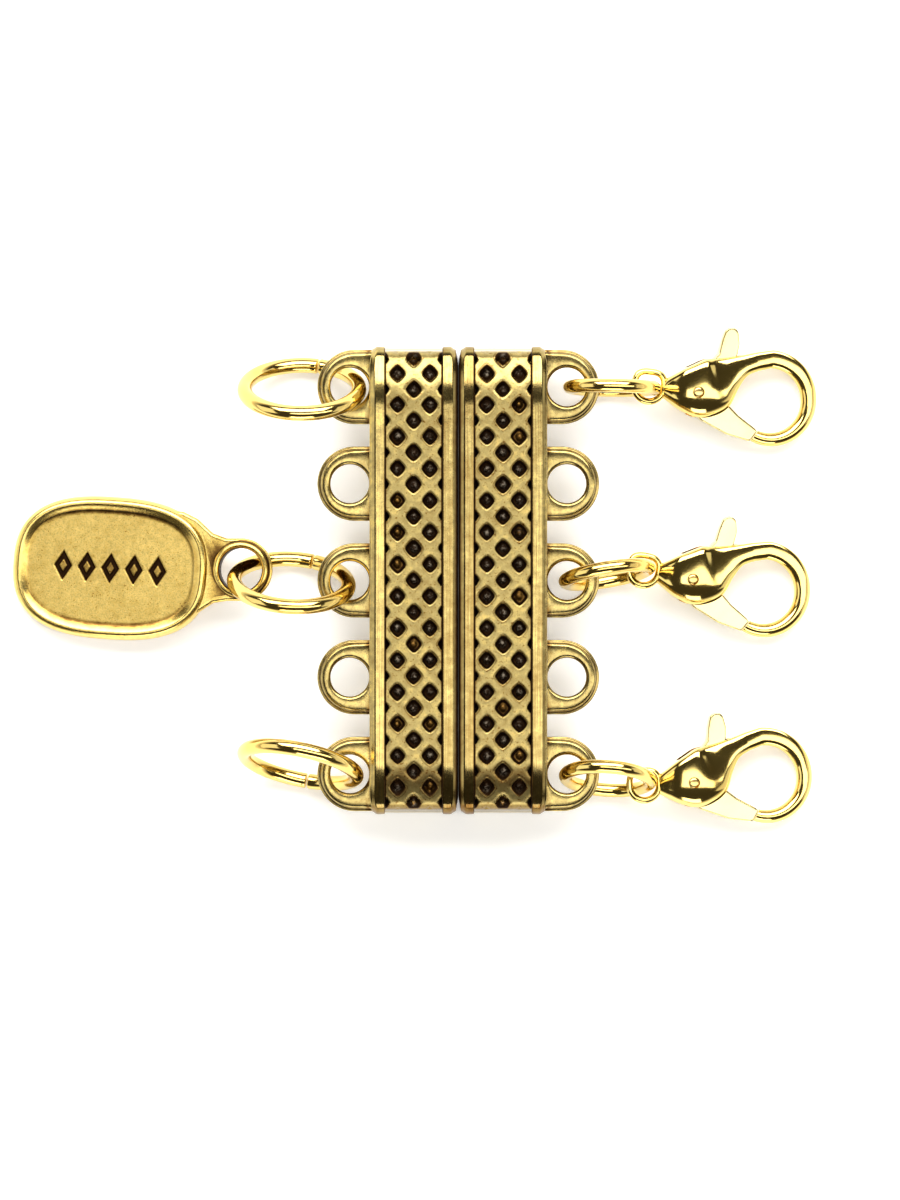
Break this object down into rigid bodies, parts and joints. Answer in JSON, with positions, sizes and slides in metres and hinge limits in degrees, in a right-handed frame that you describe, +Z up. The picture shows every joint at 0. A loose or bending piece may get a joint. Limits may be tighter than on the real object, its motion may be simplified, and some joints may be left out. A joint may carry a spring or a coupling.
{
  "type": "magnetic layering clasp",
  "caption": "Magnetic bar clasp for layered necklaces: two latticed cast halves with loops, jump rings, lobster clasps and an oval tag.",
  "frame": {"origin": "middle of the seam between the two bars, in the plane that the clasp lies on", "axes": "+X across the seam towards the lobster clasps, +Y along the bars, +Z up from the surface"},
  "size_m": [0.0524, 0.0323, 0.0081],
  "materials": {
    "antique_casting": "antiqued cast metal with gold plate, dark in the recesses",
    "antique_tag": "antiqued cast metal with gold plate and a matt grained field",
    "ring_gold": "bright gold plated wire",
    "clasp_gold": "polished gold plate",
    "lever_gold": "polished gold plate",
    "rivet_gold": "polished gold plate",
    "magnet_nickel": "nickel plate"
  },
  "bodies": {
    "left_half": {"left_bar": "antique_casting", "left_magnet_1": "magnet_nickel", "left_magnet_2": "magnet_nickel", "left_magnet_3": "magnet_nickel", "left_ring_top": "ring_gold", "left_ring_bottom": "ring_gold", "tag_ring": "ring_gold", "tag": "antique_tag"},
    "right_half": {"right_bar": "antique_casting", "right_magnet_1": "magnet_nickel", "right_magnet_2": "magnet_nickel", "right_magnet_3": "magnet_nickel", "link_top": "ring_gold", "link_middle": "ring_gold", "link_bottom": "ring_gold", "hook_top": "clasp_gold", "hook_middle": "clasp_gold", "hook_bottom": "clasp_gold", "rivet_top": "rivet_gold", "rivet_middle": "rivet_gold", "rivet_bottom": "rivet_gold"},
    "top_lever": {"lever_top": "lever_gold"},
    "middle_lever": {"lever_middle": "lever_gold"},
    "bottom_lever": {"lever_bottom": "lever_gold"}
  },
  "joints": [
    {"name": "half_slide", "type": "slide", "parent": "left_half", "child": "right_half", "axis": [1, 0, 0], "range_m": [0, 0.008], "stiffness_N_per_m": 40, "springref_m": -0.03},
    {"name": "top_lever_pivot", "type": "hinge", "parent": "right_half", "child": "top_lever", "pos_m": [0.01542, 0.01224, 0.00167], "axis": [0.145, -0.0176, 0.9893], "range_deg": [0, 24], "stiffness_Nm_per_rad": 0.01, "springref_deg": -11.46},
    {"name": "middle_lever_pivot", "type": "hinge", "parent": "right_half", "child": "middle_lever", "pos_m": [0.01505, 0.0001, 0.00167], "axis": [0.1437, -0.0261, 0.9893], "range_deg": [0, 24], "stiffness_Nm_per_rad": 0.01, "springref_deg": -11.46},
    {"name": "bottom_lever_pivot", "type": "hinge", "parent": "right_half", "child": "bottom_lever", "pos_m": [0.01513, -0.01316, 0.00167], "axis": [0.1459, 0.0079, 0.9893], "range_deg": [0, 24], "stiffness_Nm_per_rad": 0.01, "springref_deg": -11.46}
  ]
}
